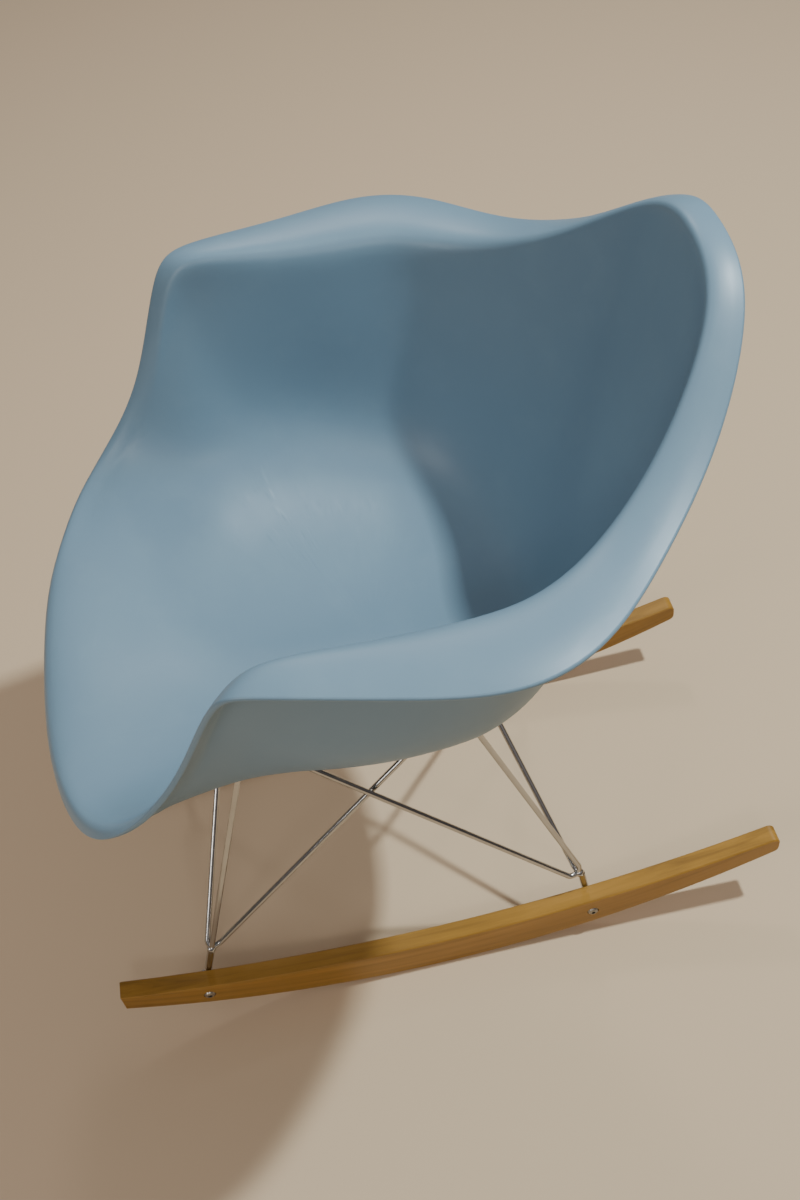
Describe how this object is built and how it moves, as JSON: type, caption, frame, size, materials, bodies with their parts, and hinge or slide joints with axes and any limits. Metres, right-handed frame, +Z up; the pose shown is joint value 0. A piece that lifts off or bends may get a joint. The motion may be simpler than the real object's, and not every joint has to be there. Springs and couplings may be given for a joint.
{
  "type": "rocking armchair",
  "caption": "Moulded plastic armchair shell with rolled arms, on a welded wire strut base with short posts and curved wooden rocker runners.",
  "frame": {"origin": "on the floor, midway between the runners, under the lowest line of their soles", "axes": "+Z up, the sitter faces -Y, +X to the sitter's left"},
  "size_m": [0.627, 0.704, 0.748],
  "materials": {
    "shell_plastic": "satin moulded",
    "runner_wood": "oiled",
    "chromed_wire": "polished",
    "zinc_bolt": "zinc plated",
    "pad_rubber": "moulded"
  },
  "bodies": {
    "root": {"seat_shell": "shell_plastic", "runner_left": "runner_wood", "post_front_left": "chromed_wire", "runner_bolt_front_left": "zinc_bolt", "mount_plate_front_left": "chromed_wire", "mount_pad_front_left": "pad_rubber", "mount_insert_front_left": "zinc_bolt", "mount_screw_front_left": "zinc_bolt", "post_rear_left": "chromed_wire", "runner_bolt_rear_left": "zinc_bolt", "mount_plate_rear_left": "chromed_wire", "mount_pad_rear_left": "pad_rubber", "mount_insert_rear_left": "zinc_bolt", "mount_screw_rear_left": "zinc_bolt", "runner_right": "runner_wood", "post_front_right": "chromed_wire", "runner_bolt_front_right": "zinc_bolt", "mount_plate_front_right": "chromed_wire", "mount_pad_front_right": "pad_rubber", "mount_insert_front_right": "zinc_bolt", "mount_screw_front_right": "zinc_bolt", "post_rear_right": "chromed_wire", "runner_bolt_rear_right": "zinc_bolt", "mount_plate_rear_right": "chromed_wire", "mount_pad_rear_right": "pad_rubber", "mount_insert_rear_right": "zinc_bolt", "mount_screw_rear_right": "zinc_bolt", "strut_front_left_upright": "chromed_wire", "strut_front_left_cross": "chromed_wire", "strut_front_left_diagonal": "chromed_wire", "strut_rear_left_upright": "chromed_wire", "strut_rear_left_cross": "chromed_wire", "strut_rear_left_diagonal": "chromed_wire", "strut_front_right_upright": "chromed_wire", "strut_front_right_cross": "chromed_wire", "strut_front_right_diagonal": "chromed_wire", "strut_rear_right_upright": "chromed_wire", "strut_rear_right_cross": "chromed_wire", "strut_rear_right_diagonal": "chromed_wire"}
  },
  "joints": []
}
